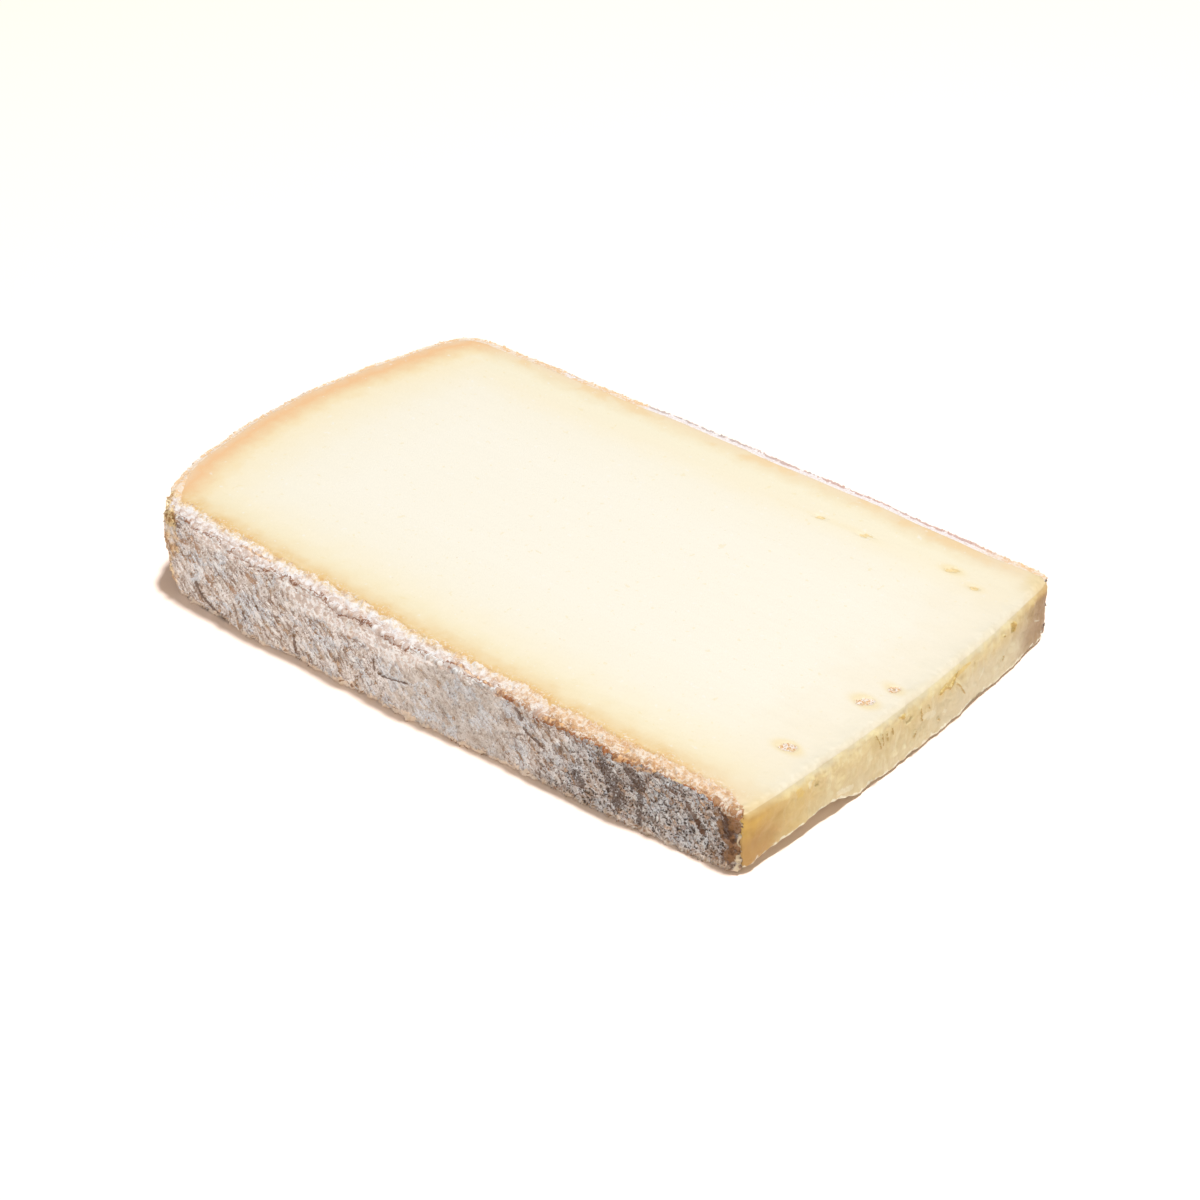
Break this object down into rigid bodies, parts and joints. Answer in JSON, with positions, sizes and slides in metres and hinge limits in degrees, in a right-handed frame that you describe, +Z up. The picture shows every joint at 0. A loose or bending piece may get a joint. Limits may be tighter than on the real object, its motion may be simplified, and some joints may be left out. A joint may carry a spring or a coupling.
{
  "type": "cheese wedge",
  "caption": "Thin wedge of hard pressed cheese lying on its cut face, with a mouldy natural rind on three sides and a straight cut end.",
  "frame": {"origin": "on the surface the wedge rests on, under the middle of its length and width", "axes": "+X along the wheel's radius towards the straight cut end, +Y along the wheel's height from the front rind to the back rind, +Z up"},
  "size_m": [0.1568, 0.1014, 0.0198],
  "materials": {
    "cheese": "satin cut faces, dry mottled grey and brown natural rind"
  },
  "bodies": {
    "root": {"cheese_wedge": "cheese"}
  },
  "joints": []
}
